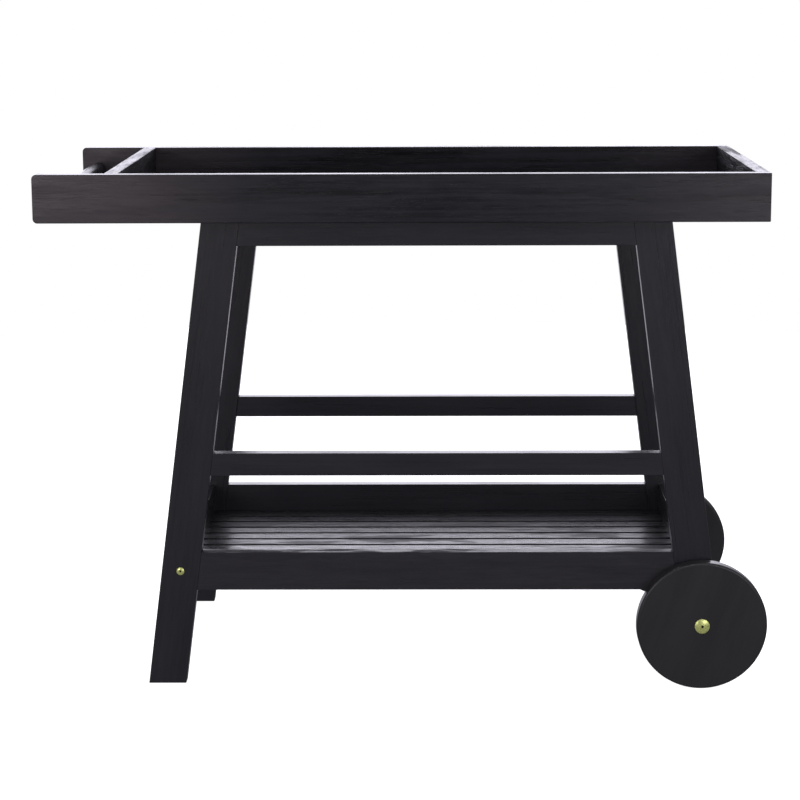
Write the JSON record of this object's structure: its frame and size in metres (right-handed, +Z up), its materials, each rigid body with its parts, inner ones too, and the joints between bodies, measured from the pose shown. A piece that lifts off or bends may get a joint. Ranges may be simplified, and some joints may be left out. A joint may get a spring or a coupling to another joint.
{
  "type": "bar cart",
  "caption": "Low bar cart in dark stained wood: slatted tray with a round handle bar at one end, splayed legs, guard rails, a slatted lower shelf and solid wooden wheels.",
  "frame": {"origin": "on the floor, under the middle of the bounding box", "axes": "+X from the handle end to the wheel end, +Y from the front long side to the back one, +Z up"},
  "size_m": [1.1088, 0.5228, 0.795],
  "materials": {
    "tray_wood": "black stain, satin lacquer, fine straight grain along each board",
    "frame_wood": "black stain, satin lacquer, fine straight grain along each board",
    "slat_wood": "black stain, satin lacquer, open streaky grain along each slat",
    "wheel_wood": "black stain, satin lacquer, very fine grain",
    "handle_wood": "black stain, satin lacquer, turned round bar",
    "dowel_wood": "bare beech",
    "yellow_zinc": "yellow zinc plate, slightly dull",
    "bright_zinc": "bright zinc plate",
    "nylon": "moulded nylon, matte"
  },
  "bodies": {
    "root": {"tray_front_rail": "tray_wood", "tray_back_rail": "tray_wood", "tray_left_end": "tray_wood", "tray_right_end": "tray_wood", "handle_bar": "handle_wood", "tray_slat_1": "slat_wood", "tray_slat_2": "slat_wood", "tray_slat_3": "slat_wood", "tray_slat_4": "slat_wood", "tray_slat_5": "slat_wood", "tray_slat_6": "slat_wood", "tray_slat_7": "slat_wood", "tray_slat_8": "slat_wood", "tray_slat_9": "slat_wood", "tray_slat_10": "slat_wood", "tray_slat_11": "slat_wood", "tray_slat_12": "slat_wood", "tray_batten_left": "frame_wood", "tray_batten_right": "frame_wood", "leg_front_left": "frame_wood", "leg_back_left": "frame_wood", "leg_front_right": "frame_wood", "leg_back_right": "frame_wood", "front_apron": "frame_wood", "back_apron": "frame_wood", "left_cross_rail": "frame_wood", "right_cross_rail": "frame_wood", "front_guard_rail": "frame_wood", "back_guard_rail": "frame_wood", "shelf_front_rail": "frame_wood", "shelf_back_rail": "frame_wood", "shelf_left_rail": "frame_wood", "shelf_right_rail": "frame_wood", "shelf_slat_1": "slat_wood", "shelf_slat_2": "slat_wood", "shelf_slat_3": "slat_wood", "shelf_slat_4": "slat_wood", "shelf_slat_5": "slat_wood", "shelf_slat_6": "slat_wood", "shelf_slat_7": "slat_wood", "shelf_slat_8": "slat_wood", "shelf_slat_9": "slat_wood", "shelf_slat_10": "slat_wood", "shelf_slat_11": "slat_wood", "shelf_batten_left": "frame_wood", "shelf_batten_right": "frame_wood", "front_axle_bolt": "yellow_zinc", "back_axle_bolt": "yellow_zinc", "wheel_spacers": "nylon", "axle_nuts": "bright_zinc", "frame_bolts": "yellow_zinc", "barrel_nuts": "bright_zinc", "joint_dowels": "dowel_wood", "slat_screws": "bright_zinc", "tray_screws": "bright_zinc"},
    "front_wheel_set": {"front_wheel": "wheel_wood", "front_wheel_bush": "nylon"},
    "back_wheel_set": {"back_wheel": "wheel_wood", "back_wheel_bush": "nylon"}
  },
  "joints": [
    {"name": "front_wheel_spin", "type": "hinge", "parent": "root", "child": "front_wheel_set", "pos_m": [0.45444, -0.247, 0.1], "axis": [0, 1, 0], "continuous": true},
    {"name": "back_wheel_spin", "type": "hinge", "parent": "root", "child": "back_wheel_set", "pos_m": [0.45444, 0.247, 0.1], "axis": [0, 1, 0], "continuous": true}
  ]
}
